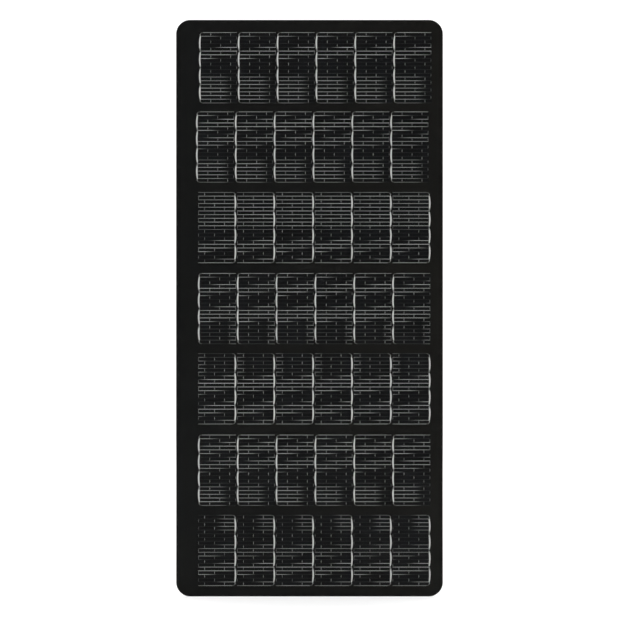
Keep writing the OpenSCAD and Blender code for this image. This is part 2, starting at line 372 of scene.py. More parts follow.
def black_mask(look):
    """The black layer that shows between and around the cells."""
    made, g = new_surface("black_mask")
    place = g.place()
    across, _, _ = g.parts(place)
    cloud = g.smooth(g.noise(place, 5.0, 3.0), 0.3, 0.7)
    speck = g.noise(place, 700.0, 2.0)
    # Random cloud, and a warmer, lighter black towards the sheet's right edge
    cloud_and_right_warmth = 0.35 * cloud + 0.65 * g.smooth(across, SHEET_LEFT, SHEET_RIGHT)
    colour = g.mix(cloud_and_right_warmth, opaque(look.mask_cool), opaque(look.mask_warm))
    principled(g, {
        "Base Color": colour,
        "Roughness": 0.55 + 0.2 * speck,
        "Specular IOR Level": 0.085,
        "Coat Weight": look.film_coat,
        "Coat Roughness": 0.22,
        "Normal": g.bump(speck, 0.000004),
    })
    return made


def black_silicon(look):
    """Textured monocrystalline wafer: black, with a breath of blue and a fine sparkle."""
    made, g = new_surface("black_silicon")
    place = g.place()
    etch = g.noise(place, 1600.0, 2.0)
    cloud = g.smooth(g.noise(place, 16.0, 2.0), 0.35, 0.65)
    colour = g.mix(cloud, opaque(look.wafer_dark), opaque(look.wafer_blue))
    principled(g, {
        "Base Color": colour,
        "Roughness": 0.5 + 0.16 * etch,
        "Specular IOR Level": 0.07,
        "Coat Weight": look.film_coat,
        "Coat Roughness": 0.22,
        "Normal": g.bump(etch, 0.00001),
    })
    return made


def tinned_copper(look):
    """Tinned copper of the grids, with painted highlight: its attribute says how brightly each stretch is painted as
    catching the light.
    """
    made, g = new_surface("tinned_copper")
    place = g.place()
    # The shine attribute holds each point's painted highlight
    shine = g.node("ShaderNodeAttribute", {"attribute_name": "shine"}).of("Fac")
    mottle = g.smooth(g.noise(place, 420.0, 3.0, 0.6), 0.25, 0.75)
    # Painted highlight with a random mottle; it blends the colour from painted-shade tin to painted-glint tin, and
    # sets metallic and roughness
    share = shine * (0.82 + 0.18 * mottle)
    principled(g, {
        "Base Color": g.mix(share, opaque(look.tin_dull), opaque(look.tin_bright)),
        "Metallic": 0.5 * share,
        "Specular IOR Level": 0.2,
        "Roughness": 0.6 - 0.25 * share,
        "Normal": g.bump(mottle, 0.00003),
    })
    return made


def coated_ribbon(look):
    """Black coated copper ribbon."""
    made, g = new_surface("coated_ribbon")
    brushed = g.noise(g.place(), 300.0, 3.0)
    principled(g, {
        "Base Color": g.mix(brushed, grey(0.012), grey(0.03)),
        "Roughness": 0.35 + 0.2 * brushed,
        "Normal": g.bump(brushed, 0.00002),
    })
    return made


def glass_weave(look):
    """Back sheet: black glass-fibre cloth in resin, with the wafers showing through as low relief."""
    made, g = new_surface("glass_weave")
    place = g.place()
    x, _, z = g.parts(place)
    tow = math.pi / look.tow_pitch
    over = (x * tow).math("SINE") * (z * tow).math("SINE")
    cloth = g.smooth(over, -0.6, 0.6)
    relief = wafer_relief(g, x, z)
    resin = g.noise(place, 26.0, 3.0)
    height = cloth * 0.12 + relief * 0.55 + resin * 0.33
    colour = g.mix(cloth * 0.6 + resin * 0.4, opaque(look.cloth_dark), opaque(look.cloth_light))
    principled(g, {
        "Base Color": colour,
        "Roughness": 0.36 + 0.16 * cloth + 0.12 * resin,
        "Specular IOR Level": 0.4,
        "Normal": g.bump(height, look.relief),
    })
    return made


def wafer_relief(g, x, z):
    """1 over each wafer and 0 between them, with soft edges, from the place on the sheet."""
    low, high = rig.box("cells_4")
    pitch_x, pitch_z = cell_pitch(), row_pitch()
    half_x = (high[0] - low[0] - (cells_in_row() - 1) * pitch_x) / 2
    half_z = (high[2] - low[2]) / 2

    def plateau(value, first, pitch, half):
        within = (value - (first - pitch / 2)).math("FLOORED_MODULO", pitch)
        from_centre = (within - pitch / 2).math("ABSOLUTE")
        return 1.0 - g.smooth(from_centre, half - 2 * MM, half + 1 * MM)

    inside = g.smooth(x, low[0] - 3 * MM, low[0]) * (1.0 - g.smooth(x, high[0], high[0] + 3 * MM))
    across = plateau(x, low[0] + half_x, pitch_x, half_x)
    along = plateau(z, (low[2] + high[2]) / 2, pitch_z, half_z)
    return across * along * inside


def moulded_plastic(look):
    """Black moulded plastic of the junction box, with a fine spark-eroded grain."""
    made, g = new_surface("moulded_plastic")
    place = g.place()
    grain = g.noise(place, 1300.0, 3.0, 0.6)
    cloud = g.smooth(g.noise(place, 70.0, 2.0), 0.3, 0.7)
    colour = g.mix(cloud * 0.2, opaque(look.plastic), grey(0.075))
    principled(g, {
        "Base Color": colour,
        "Roughness": 0.42 + 0.16 * grain,
        "Normal": g.bump(grain, 0.00006),
    })
    return made


def soft_rubber(look):
    """Matt silicone of the seals."""
    made, g = new_surface("soft_rubber")
    dust = g.noise(g.place(), 500.0, 3.0)
    principled(g, {
        "Base Color": g.mix(dust, grey(0.03), grey(0.07)),
        "Roughness": 0.75 + 0.15 * dust,
        "Normal": g.bump(dust, 0.00004),
    })
    return made


def bonding_foam(look):
    """Dense adhesive foam between the box and the sheet."""
    made, g = new_surface("bonding_foam")
    cells = g.node("ShaderNodeTexVoronoi", {}, {"Vector": g.place(), "Scale": 1500.0})
    principled(g, {
        "Base Color": g.mix(cells, grey(0.02), grey(0.05)),
        "Roughness": 0.9,
        "Normal": g.bump(cells, 0.0001),
    })
    return made


def turned_steel(look):
    """Stainless steel of the screws, with turning marks."""
    made, g = new_surface("turned_steel")
    place = g.place()
    marks = g.noise(place, 900.0, 4.0, 0.7)
    principled(g, {
        "Base Color": g.mix(marks, grey(0.42), grey(0.66)),
        "Metallic": 1.0,
        "Roughness": 0.24 + 0.2 * marks,
        "Normal": g.bump(marks, 0.00003),
    })
    return made


def stamped_brass(look):
    """Brass of the terminal plates."""
    made, g = new_surface("stamped_brass")
    tarnish = g.smooth(g.noise(g.place(), 160.0, 4.0), 0.3, 0.75)
    principled(g, {
        "Base Color": g.mix(tarnish, (0.78, 0.6, 0.3, 1.0), (0.5, 0.36, 0.17, 1.0)),
        "Metallic": 1.0,
        "Roughness": 0.25 + 0.25 * tarnish,
        "Normal": g.bump(tarnish, 0.00003),
    })
    return made


def moulded_epoxy(look):
    """Epoxy barrel of the diode."""
    made, g = new_surface("moulded_epoxy")
    grain = g.noise(g.place(), 800.0, 2.0)
    principled(g, {
        "Base Color": g.mix(grain, grey(0.012), grey(0.03)),
        "Roughness": 0.3 + 0.15 * grain,
        "Normal": g.bump(grain, 0.00003),
    })
    return made


FINISHES = {
    "clear_film": clear_film,
    "clear_gel": black_mask,
    "cell": black_silicon,
    "silver_wire": tinned_copper,
    "black_ribbon": coated_ribbon,
    "back_sheet": glass_weave,
    "box_plastic": moulded_plastic,
    "seal_rubber": soft_rubber,
    "bonding_foam": bonding_foam,
    "screw_steel": turned_steel,
    "terminal_brass": stamped_brass,
    "diode_epoxy": moulded_epoxy,
}
made_finishes = {}


def finish_of(slot):
    """The finish of a material slot of the record, made once."""
    if slot not in made_finishes:
        made_finishes[slot] = FINISHES[slot](bpy.context.scene.solar_finishes)
    return made_finishes[slot]


# ---------------------------------------------------------------- pieces

def cells_in_row():
    return bpy.context.scene.solar_grid.cells


def cell_pitch():
    return bpy.context.scene.solar_grid.cell_pitch


def row_pitch():
    top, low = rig.box("back_sheet_2"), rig.box("back_sheet_3")
    return top[0][2] - low[0][2]


def settled(piece, body, slot):
    """A finished piece that rides on one body, with the finish of its slot."""
    if not piece.data.materials:
        piece.data.materials.append(finish_of(slot))
    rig.slot(piece, slot)
    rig.ride(piece, body)
    return piece


def new_piece(name, mesh):
    piece = bpy.data.objects.new(name, mesh)
    bpy.context.scene.collection.objects.link(piece)
    return piece


def piece_from(name, work, smooth=False):
    """A piece from a bmesh, its normals turned outwards."""
    bmesh.ops.recalc_face_normals(work, faces=work.faces)
    mesh = bpy.data.meshes.new(name)
    work.to_mesh(mesh)
    work.free()
    mesh.shade_smooth() if smooth else mesh.shade_flat()
    return new_piece(name, mesh)


def cad_copy(node):
    """A bmesh of a CAD node with its triangles joined up into whole faces."""
    work = bmesh.new()
    work.from_mesh(frame["nodes"][node].data)
    bmesh.ops.remove_doubles(work, verts=work.verts, dist=1e-6)
    bmesh.ops.dissolve_limit(work, angle_limit=math.radians(1), verts=work.verts, edges=work.edges)
    return work


def slab(name, low, high, levels):
    """A closed slab between two corners, cut at these heights so that it can bend."""
    work = bmesh.new()
    rings = []
    for z in levels:
        corners = ((low[0], low[1]), (high[0], low[1]), (high[0], high[1]), (low[0], high[1]))
        rings.append([work.verts.new((x, y, z)) for x, y in corners])
    for below, above in zip(rings, rings[1:]):
        for i in range(4):
            j = (i + 1) % 4
            work.faces.new((below[i], below[j], above[j], above[i]))
    work.faces.new(rings[0])
    work.faces.new(rings[-1])
    return piece_from(name, work)


def outline_loop(work, low, high, radii, y):
    """Vertices round a rectangle whose lower and upper corners have these radii."""
    loop = []
    low_r, top_r = radii
    corners = (
        (low[0], low[2], low_r, 180), (high[0], low[2], low_r, 270),
        (high[0], high[2], top_r, 0), (low[0], high[2], top_r, 90),
    )
    for x, z, radius, start in corners:
        if radius == 0:
            loop.append(work.verts.new((x, y, z)))
            continue
        inward = (1 if x == low[0] else -1, 1 if z == low[2] else -1)
        centre = (x + inward[0] * radius, z + inward[1] * radius)
        for i in range(CORNER_STEPS + 1):
            turn = math.radians(start + 90 * i / CORNER_STEPS)
            loop.append(work.verts.new((
                centre[0] + radius * math.cos(turn), y, centre[1] + radius * math.sin(turn))))
    return loop


def loop_edges(work, loop):
    """The edges that already run round a loop of vertices."""
    return [work.edges.get((a, b)) for a, b in zip(loop, loop[1:] + loop[:1])]


def bridge(work, first, second):
    for i in range(len(first)):
        j = (i + 1) % len(first)
        work.faces.new((first[i], first[j], second[j], second[i]))


def corner_radii(row):
    """Radii of a row's lower and upper corners: only the end rows have round ones."""
    radius = bpy.context.scene.solar_sheet.corner
    return (radius if row == ROWS[-1] else 0), (radius if row == ROWS[0] else 0)


def grid_window(row):
    """Lowest and highest corner of the room that a row's cells and strips take."""
    boxes = [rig.box(f"{kind}_{row}") for kind in ("cells", "wire_grid")]
    rim = bpy.context.scene.solar_sheet.window_rim
    low = [min(b[0][axis] for b in boxes) - rim for axis in range(3)]
    high = [max(b[1][axis] for b in boxes) + rim for axis in range(3)]
    return low, high


def make_mask(row):
    """The black core of a row: a plate with a sunk window in which the cells lie."""
    low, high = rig.box(f"encapsulant_{row}")
    window_low, window_high = grid_window(row)
    sink = CELL_FRONT + CELL_PROUD
    work = bmesh.new()
    rear = outline_loop(work, low, high, corner_radii(row), BACK_FRONT)
    front = outline_loop(work, low, high, corner_radii(row), CORE_FRONT)
    rim = outline_loop(work, window_low, window_high, (0, 0), CORE_FRONT)
    floor = outline_loop(work, window_low, window_high, (0, 0), sink)
    work.faces.new(rear)
    work.faces.new(floor)
    bridge(work, rear, front)
    bridge(work, rim, floor)
    edges = loop_edges(work, front) + loop_edges(work, rim)
    bmesh.ops.triangle_fill(work, edges=edges, use_beauty=True)
    piece = piece_from(f"core_{row}", work)
    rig.replaces(piece, f"encapsulant_{row}")
    return settled(piece, f"panel_{row}", "clear_gel")


# ---------------------------------------------------------------- wire grids

def add_tree_inputs(tree, inputs):
    """Named inputs, all of which make_grid sets, and the geometry that comes out."""
    for name, kind in inputs:
        tree.interface.new_socket(name, in_out="INPUT", socket_type=f"NodeSocket{kind}")
    tree.interface.new_socket("Geometry", in_out="OUTPUT", socket_type="NodeSocketGeometry")


def tube(g, curve, radius, sides, scale=None):
    """A closed round tube along a curve."""
    profile = g.node("GeometryNodeCurvePrimitiveCircle", {}, {"Resolution": sides, "Radius": radius})
    sockets = {"Curve": curve, "Profile Curve": profile, "Fill Caps": True}
    if scale is not None:
        sockets["Scale"] = scale
    return g.node("GeometryNodeCurveToMesh", {}, sockets)


def curve_line(g, start, end, count):
    """A straight curve of this many points."""
    line = g.node("GeometryNodeCurvePrimitiveLine", {}, {"Start": start, "End": end})
    return g.node("GeometryNodeResampleCurve", {"mode": "COUNT"}, {"Curve": line, "Count": count})


def repeated(g, shape, count, start, offset):
    """Instances of a shape along a straight line of points."""
    points = g.node("GeometryNodeMeshLine", {"mode": "OFFSET"},
                    {"Count": count, "Start Location": start, "Offset": offset})
    return g.node("GeometryNodeInstanceOnPoints", {}, {"Points": points, "Instance": shape})


def flattened(g, shape, thickness, part):
    """The shape squeezed in depth, with the attribute that tells what part it is."""
    thin = g.node("GeometryNodeTransform", {}, {"Geometry": shape, "Scale": g.vector(1.0, thickness, 1.0)})
    settings = {"data_type": "FLOAT", "domain": "POINT"}
    return g.node("GeometryNodeStoreNamedAttribute", settings, {0: thin, "Name": "part", "Value": part})


def grid_tree():
    """Geometry nodes for one row of wire grids: a comb of wires on a bowed strip, with staggered links."""
    tree = bpy.data.node_groups.new("wire_grid_row", "GeometryNodeTree")
    add_tree_inputs(tree, (
        ("Wires", "Int"), ("Wire Pitch", "Float"), ("Wire Radius", "Float"), ("Wire Flatness", "Float"),
        ("Reach", "Float"), ("Strip Half Width", "Float"), ("Strip Flatness", "Float"),
        ("Corner", "Float"), ("Bow", "Float"), ("Side", "Float"), ("Cells", "Int"),
        ("Cell Pitch", "Float"), ("First Strip", "Vector"), ("Material", "Material"),
    ))
    g = Graph(tree)
    given = g.node("NodeGroupInput")
    wires, pitch, radius = given.of("Wires"), given.of("Wire Pitch"), given.of("Wire Radius")
    reach, corner, side = given.of("Reach"), given.of("Corner"), given.of("Side")
    flat = given.of("Wire Flatness")
    half = (wires - 1.0) * pitch / 2.0
    tip = g.vector(side * reach)

    root = g.vector(side * given.of("Strip Half Width") * 0.6)
    inner_line = curve_line(g, root, tip, WIRE_POINTS)
    inner = flattened(g, tube(g, inner_line, radius, WIRE_SIDES), flat, WIRE)
    outer_line = curve_line(g, g.vector(side * corner), tip, WIRE_POINTS)
    outer = flattened(g, tube(g, outer_line, radius, WIRE_SIDES), flat, WIRE)
    link_ends = g.vector(0.0, 0.0, pitch * -0.5), g.vector(0.0, 0.0, pitch * 0.5)
    link_line = curve_line(g, *link_ends, LINK_POINTS)
    bulge = (g.node("GeometryNodeSplineParameter").of("Factor") * math.pi).math("SINE")
    link = flattened(g, tube(g, link_line, radius, WIRE_SIDES, 0.6 + 0.5 * bulge), flat, LINK)
    pieces = [
        repeated(g, inner, wires - 2.0, g.vector(0.0, 0.0, half - pitch), g.vector(0.0, 0.0, -pitch)),
        repeated(g, outer, 2, g.vector(0.0, 0.0, half), g.vector(0.0, 0.0, half * -2.0)),
        strip_shape(g, given, half),
    ]
    for share, first_gap in LINK_LINES:
        start = g.vector(side * reach * share, 0.0, half - pitch * (first_gap + 0.5))
        count = wires / 2.0 - first_gap
        pieces.append(repeated(g, link, count, start, g.vector(0.0, 0.0, pitch * -2.0)))

    cell = g.node("GeometryNodeJoinGeometry", {}, {0: pieces[::-1]})
    row = repeated(g, cell, given.of("Cells"), given.of("First Strip"), g.vector(given.of("Cell Pitch")))
    real = g.node("GeometryNodeRealizeInstances", {}, {0: row})
    smooth = g.node("GeometryNodeSetShadeSmooth", {}, {0: real})
    done = g.node("GeometryNodeSetMaterial", {}, {0: smooth, "Material": given.of("Material")})
    g.node("NodeGroupOutput", {}, {"Geometry": done})
    return tree


def strip_shape(g, given, half):
    """The interconnect strip: four bowed lengths between narrow necks, with round shoulders."""
    corner, side, width = given.of("Corner"), given.of("Side"), given.of("Strip Half Width")
    straight = half - corner
    line = curve_line(g, g.vector(0.0, 0.0, straight), g.vector(0.0, 0.0, -straight), STRIP_POINTS)
    along = g.node("GeometryNodeSplineParameter").of("Factor")
    wave = (along * (STRIP_LENGTHS * math.pi)).math("SINE").math("ABSOLUTE")
    bow = given.of("Bow") * (0.5 - wave)
    bowed = g.node("GeometryNodeSetPosition", {}, {0: line, "Offset": g.vector(side * bow)})
    neck = 0.12 + 0.88 * (wave ** 0.25)
    parts = [tube(g, bowed, width, STRIP_SIDES, neck)]
    for way in (1.0, -1.0):
        sockets = {
            "Resolution": 8,
            "Start": g.vector(0.0, 0.0, straight * way),
            "Middle": g.vector(0.0, 0.0, half * way),
            "End": g.vector(side * corner, 0.0, half * way),
        }
        arc = g.node("GeometryNodeCurveQuadraticBezier", {}, sockets)
        taper = 0.45 - 0.2 * g.node("GeometryNodeSplineParameter").of("Factor")
        parts.append(tube(g, arc, width, STRIP_SIDES, taper))
    joined = g.node("GeometryNodeJoinGeometry", {}, {0: parts})
    return flattened(g, joined, given.of("Strip Flatness"), STRIP)


def grown(name, tree, values):
    """A plain mesh piece made by a geometry tree with these inputs."""
    piece = new_piece(name, bpy.data.meshes.new(name))
    modifier = piece.modifiers.new(name, "NODES")
    modifier.node_group = tree
    for item in tree.interface.items_tree:
        if item.item_type == "SOCKET" and item.in_out == "INPUT":
            modifier[item.identifier] = values[item.name]
    ready = piece.evaluated_get(bpy.context.evaluated_depsgraph_get())
    mesh = bpy.data.meshes.new_from_object(ready)
    piece.modifiers.clear()
    piece.data = mesh
    mesh.name = name
    return piece


def strips_on_left(row):
    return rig.box(f"wire_grid_{row}")[0][0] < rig.box(f"cells_{row}")[0][0]


def make_grid(row, tree):
    """The wire grids of one row."""
    grid = bpy.context.scene.solar_grid
    low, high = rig.box(f"wire_grid_{row}")
    cells_low, cells_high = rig.box(f"cells_{row}")
    side = 1.0 if strips_on_left(row) else -1.0
    spread = (grid.cells - 1) * grid.cell_pitch
    half_strip = grid.cad_strip_width / 2
    first = low[0] + half_strip if side > 0 else high[0] - half_strip - spread
    wire_height = high[2] - low[2] - grid.cad_wire_width
    pitch = wire_height / (grid.wires - 1)
    depth = CELL_FRONT - grid.wire_radius * grid.wire_flatness
    end = cells_high[0] - spread if side > 0 else cells_low[0] + spread
    edge = first if side > 0 else first + spread
    piece = grown(f"grid_{row}", tree, {
        "Wires": grid.wires, "Wire Pitch": pitch,
        "Wire Radius": grid.wire_radius, "Wire Flatness": grid.wire_flatness,
        "Reach": abs(end - edge) - grid.wire_end_gap, "Strip Half Width": grid.strip_width / 2,
        "Strip Flatness": grid.strip_thickness / grid.strip_width, "Corner": grid.strip_corner,
        "Bow": grid.strip_bow, "Side": side, "Cells": grid.cells, "Cell Pitch": grid.cell_pitch,
        "First Strip": (first, depth, (low[2] + high[2]) / 2), "Material": finish_of("silver_wire"),
    })
    paint_glint_attribute(piece.data, row, first, (low[2] + high[2] + wire_height) / 2, pitch)
    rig.replaces(piece, f"wire_grid_{row}")
    return settled(piece, f"panel_{row}", "silver_wire")


def bell(distance, half):
    return np.exp(-((distance / half) ** 2))


def rise(value, low, high):
    """0 below low, 1 above high, and a smooth step between."""
    t = np.clip((value - low) / (high - low), 0, 1)
    return t * t * (3 - 2 * t)


def painted_glint_band(wire, across, centre, half):
    """A painted bright band (painted highlight) across a cell, with soft edges, whose centre climbs away from the
    strip.
    """
    distance = np.abs(wire - centre + BAND_CLIMB * across)
    return 1 - rise(distance, half - BAND_EDGE, half + BAND_EDGE)


def paint_glint_attribute(mesh, row, first_strip, top, pitch):
    """Stores the painted highlight of each point of a row's grids: how brightly it is painted as catching the light.
    """
    grid = bpy.context.scene.solar_grid
    count = len(mesh.vertices)
    place = np.zeros(count * 3, np.float32)
    mesh.vertices.foreach_get("co", place)
    place = place.reshape(-1, 3)
    part = np.zeros(count, np.float32)
    mesh.attributes["part"].data.foreach_get("value", part)
    across = (place[:, 0] - first_strip) / grid.cell_pitch
    across = across - np.floor(across)
    wire = (top - place[:, 2]) / pitch
    if not strips_on_left(row):
        across, wire = 1 - across, grid.wires - 1 - wire
    narrow, wide, half, level, last, near, reach, far = ROW_PAINTED_GLINT[row - 1]
    # Painted highlight of the wires: the row's painted bright bands, its first wire and its last field
    painted_wire_glint = np.maximum.reduce([
        FIRST_PAINTED_GLINT * painted_glint_band(wire, across, FIRST_WIRE, FIRST_HALF),
        END_WIRE_PAINTED_GLINT * (wire < 0.5),
        NARROW_PAINTED_GLINT * painted_glint_band(wire, across, narrow, NARROW_HALF),
        level * painted_glint_band(wire, across, wide, half),
        rise(wire, last - 1.2, last + 0.8) * (1 - 0.5 * (wire > 18.5)) * (
            near * (1 - rise(across, reach - 0.15, reach + 0.1)) + far * rise(across, 0.72, 0.9)),
    ])
    # Random strength of the painted highlight from wire to wire, and painted glints on the link dots, halved next to
    # the following strip as painted shade
    cell = np.floor((place[:, 0] - first_strip) / grid.cell_pitch).astype(int)
    chance = np.random.default_rng(row)
    dots = chance.uniform(0.5, 1.7, (grid.cells + 2, grid.wires + 1, 8))
    lines = chance.uniform(0.75, 1.15, (grid.cells + 2, grid.wires + 1))
    painted_wire_glint = painted_wire_glint * lines[cell, np.rint(wire).astype(int)]
    dot = dots[cell, np.floor(wire).astype(int), (across * 7).astype(int)] * (1 - 0.5 * (across > 0.88))
    between = wire - np.floor(wire) - 0.5
    # Painted highlight of the strips: brighter on the crests of their bowed lengths than in the necks, and dimmer at
    # their ends
    lengths = np.abs(np.sin(STRIP_LENGTHS * math.pi * wire / (grid.wires - 1)))
    strip = (0.3 + 0.7 * rise(lengths, 0.1, 0.5)) * (1 - 0.4 * (np.abs(wire - (grid.wires - 1) / 2) > 8.7))
    shine = np.where(part == STRIP, grid.strip_level * strip, grid.wire_level * painted_wire_glint)
    link = np.maximum(LINK_PAINTED_GLINT * shine, DOT_PAINTED_GLINT * dot * bell(between, 0.3))
    shine = np.where(part == LINK, link, shine)
    mesh.attributes.new("shine", "FLOAT", "POINT").data.foreach_set("value", shine.astype(np.float32))
    mesh.attributes.remove(mesh.attributes["part"])


# ---------------------------------------------------------------- bands

def bend_of(band):
    """The two bodies a band joins, and the points where it leaves the one and meets the other."""
    joint = next(j for j in frame["joints"] if j["name"] == f"bend_{band}")
    low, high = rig.box(f"flex_band_{band}")
    parent_below = joint["parent"] == f"panel_{band + 1}"
    start, end = (low[2], high[2]) if parent_below else (high[2], low[2])
    middle = (low[1] + high[1]) / 2
    return joint["parent"], joint["child"], (0, middle, start), (0, middle, end)


def bent(piece, band, slot):
    """A piece that bends with a band, with the finish of its slot."""
    piece.data.materials.append(finish_of(slot))
    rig.slot(piece, slot)
    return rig.blend(piece, *bend_of(band))


def band_levels(band, cuts):
    low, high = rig.box(f"flex_band_{band}")
    return [low[2] + (high[2] - low[2]) * i / cuts for i in range(cuts + 1)]


def make_band(band):
    """The three layers of a bending band."""
    low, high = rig.box(f"flex_band_{band}")
    levels = band_levels(band, bpy.context.scene.solar_sheet.band_cuts)
    layers = (
        ("film", FILM_FRONT, FILM_BACK, "clear_film"),
        ("core", CORE_FRONT, BACK_FRONT, "clear_gel"),
        ("back", BACK_FRONT, REAR, "back_sheet"),
    )
    for name, front, rear, slot in layers:
        piece = slab(f"band_{name}_{band}", (low[0], front, 0), (high[0], rear, 0), levels)
        if name == "core":
            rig.replaces(piece, f"flex_band_{band}")
        bent(piece, band, slot)


def make_ribbons(band):
    """The link and return ribbons that cross a band, cut so that they bend with it."""
    work = cad_copy(f"link_ribbons_{band}")
    for z in band_levels(band, bpy.context.scene.solar_sheet.band_cuts):
        everything = work.verts[:] + work.edges[:] + work.faces[:]
        bmesh.ops.bisect_plane(work, geom=everything, plane_co=(0, 0, z), plane_no=(0, 0, 1))
    piece = piece_from(f"ribbons_{band}", work)
    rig.replaces(piece, f"link_ribbons_{band}")
    bent(piece, band, "black_ribbon")


# ---------------------------------------------------------------- junction box

def softened(node, width, slot):
    """A copy of a CAD node with its sharp edges rounded, which stands for it."""
    piece = piece_from(f"soft_{node}", cad_copy(node), smooth=True)
    bevel = piece.modifiers.new("edges", "BEVEL")
    bevel.width, bevel.segments = width, EDGE_STEPS
    bevel.limit_method, bevel.angle_limit = "ANGLE", EDGE_ANGLE
    even = piece.modifiers.new("even", "WEIGHTED_NORMAL")
    even.weight = 100
    ready = piece.evaluated_get(bpy.context.evaluated_depsgraph_get())
    mesh = bpy.data.meshes.new_from_object(ready)
    piece.modifiers.clear()
    piece.data = mesh
    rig.replaces(piece, node)
    return settled(piece, "panel_1", slot)


# ---------------------------------------------------------------- settings

class SheetSettings(bpy.types.PropertyGroup):
    """Sizes of the laminate's visible layers."""

    corner: bpy.props.FloatProperty(
        name="Corner Radius", description="Radius of the sheet's corners", default=31 * MM,
        min=0.005, unit="LENGTH")
    window_rim: bpy.props.FloatProperty(
        name="Window Rim", description="Room left round the cells in the black core", default=1.2 * MM,
        min=0.0, unit="LENGTH")
    band_cuts: bpy.props.IntProperty(
        name="Band Cuts", description="Steps in which a band bends", default=12, min=2)


class GridSettings(bpy.types.PropertyGroup):
    """Sizes of the wire grids."""

    cells: bpy.props.IntProperty(name="Cells", description="Cells in a row", default=6, min=1)
    cell_pitch: bpy.props.FloatProperty(
        name="Cell Pitch", description="Distance between neighbouring cells", default=85.3 * MM,
        unit="LENGTH")
    wires: bpy.props.IntProperty(name="Wires", description="Cross wires on each cell", default=20, min=4)
    cad_wire_width: bpy.props.FloatProperty(
        name="Frame Wire Width", description="Width of the plain wires that these stand for",
        default=1 * MM, unit="LENGTH")
    cad_strip_width: bpy.props.FloatProperty(
        name="Frame Strip Width", description="Width of the plain strips that these stand for",
        default=3.4 * MM, unit="LENGTH")
    wire_radius: bpy.props.FloatProperty(
        name="Wire Radius", description="Half the width of a wire", default=0.5 * MM, unit="LENGTH")
    # Levels of the strips' and wires' painted highlight
    strip_level: bpy.props.FloatProperty(
        name="Strip Level", description="Brightness of a fully lit strip",
        default=0.8, subtype="FACTOR", min=0.0, max=1.0)
    wire_level: bpy.props.FloatProperty(
        name="Wire Level", description="Brightness of a fully lit wire",
        default=0.66, subtype="FACTOR", min=0.0, max=1.0)
    wire_flatness: bpy.props.FloatProperty(
        name="Wire Flatness", description="Thickness of a wire as a share of its width", default=0.5,
        subtype="FACTOR", min=0.1, max=1.0)
    wire_end_gap: bpy.props.FloatProperty(
        name="Wire End Gap", description="Room between a wire's free end and the cell's edge",
        default=1 * MM, unit="LENGTH")
    strip_width: bpy.props.FloatProperty(
        name="Strip Width", description="Width of an interconnect strip", default=3.4 * MM, unit="LENGTH")
    strip_thickness: bpy.props.FloatProperty(
        name="Strip Thickness", description="Thickness of an interconnect strip", default=0.45 * MM,
        unit="LENGTH")
    strip_corner: bpy.props.FloatProperty(
        name="Strip Shoulder", description="Radius of the round shoulders at a strip's ends",
        default=6.5 * MM, unit="LENGTH")
    strip_bow: bpy.props.FloatProperty(
        name="Strip Bow", description="How far each length of a strip bows out", default=1.5 * MM,
        unit="LENGTH")


def colour_property(name, description, value):
    return bpy.props.FloatVectorProperty(
        name=name, description=description, default=value, subtype="COLOR", size=3, min=0.0, max=1.0)


class FinishSettings(bpy.types.PropertyGroup):
    """Colours and gloss of the finishes."""

    film_sheen: bpy.props.FloatProperty(
        name="Film Sheen", description="Share of light that the film reflects when seen edgeways",
        default=0.3, subtype="FACTOR", min=0.0, max=1.0)
    film_coat: bpy.props.FloatProperty(
        name="Film Coat", description="Gloss that the bonded film gives the black layers below it",
        default=0.055, subtype="FACTOR", min=0.0, max=1.0)
    film_wave: bpy.props.FloatProperty(
        name="Film Wave", description="Height of the film's unevenness", default=0.3 * MM, unit="LENGTH")
    mask_cool: colour_property("Mask Cool", "Cooler black between the cells", (0.0018, 0.0022, 0.0021))
    mask_warm: colour_property("Mask Warm", "Warmer black between the cells", (0.0044, 0.0041, 0.0031))
    wafer_dark: colour_property("Wafer Dark", "Darker part of a wafer", (0.0021, 0.0023, 0.0024))
    wafer_blue: colour_property("Wafer Blue", "Bluer part of a wafer", (0.0026, 0.0031, 0.0036))
    # Tin colours of painted shade and painted highlight, blended by the wires' painted highlight
    tin_dull: colour_property("Tin Dull", "Wire that catches no light", (0.006, 0.0063, 0.006))
    tin_bright: colour_property("Tin Bright", "Wire that catches the light", (0.72, 0.73, 0.71))
    tow_pitch: bpy.props.FloatProperty(
        name="Tow Pitch", description="Distance between the back sheet's glass tows", default=2.2 * MM,
        unit="LENGTH")
    relief: bpy.props.FloatProperty(
        name="Relief", description="Height of the relief on the back sheet", default=0.35 * MM,
        unit="LENGTH")
    cloth_dark: colour_property("Cloth Dark", "Darker tows of the back sheet", (0.006, 0.006, 0.0062))
    cloth_light: colour_property("Cloth Light", "Lighter tows of the back sheet", (0.016, 0.0162, 0.0166))
    plastic: colour_property("Plastic", "Plastic of the junction box", (0.012, 0.0122, 0.0125))


class StageSettings(bpy.types.PropertyGroup):
    """Camera, floor and lights."""

    lens: bpy.props.FloatProperty(
        name="Lens", description="Focal length of the camera", default=120.0, min=10.0)
    view_width: bpy.props.FloatProperty(
        name="View Width", description="Width that the camera sees at the sheet", default=1.3587,
        unit="LENGTH")
    view_drop: bpy.props.FloatProperty(
        name="View Drop", description="How far the camera's centre is below the sheet's",
        default=2.9 * MM, unit="LENGTH")
    floor_radius: bpy.props.FloatProperty(
        name="Floor Radius", description="Radius of the floor", default=6.0, unit="LENGTH")
    backdrop: bpy.props.FloatProperty(
        name="Backdrop", description="Brightness of the surroundings behind the sheet", default=1.15)
    sky: bpy.props.FloatProperty(
        name="Sky", description="Brightness of the light from above", default=1.75)
    horizon: bpy.props.FloatProperty(
        name="Horizon", description="Brightness of the light from the sides", default=0.12)


# ---------------------------------------------------------------- operators

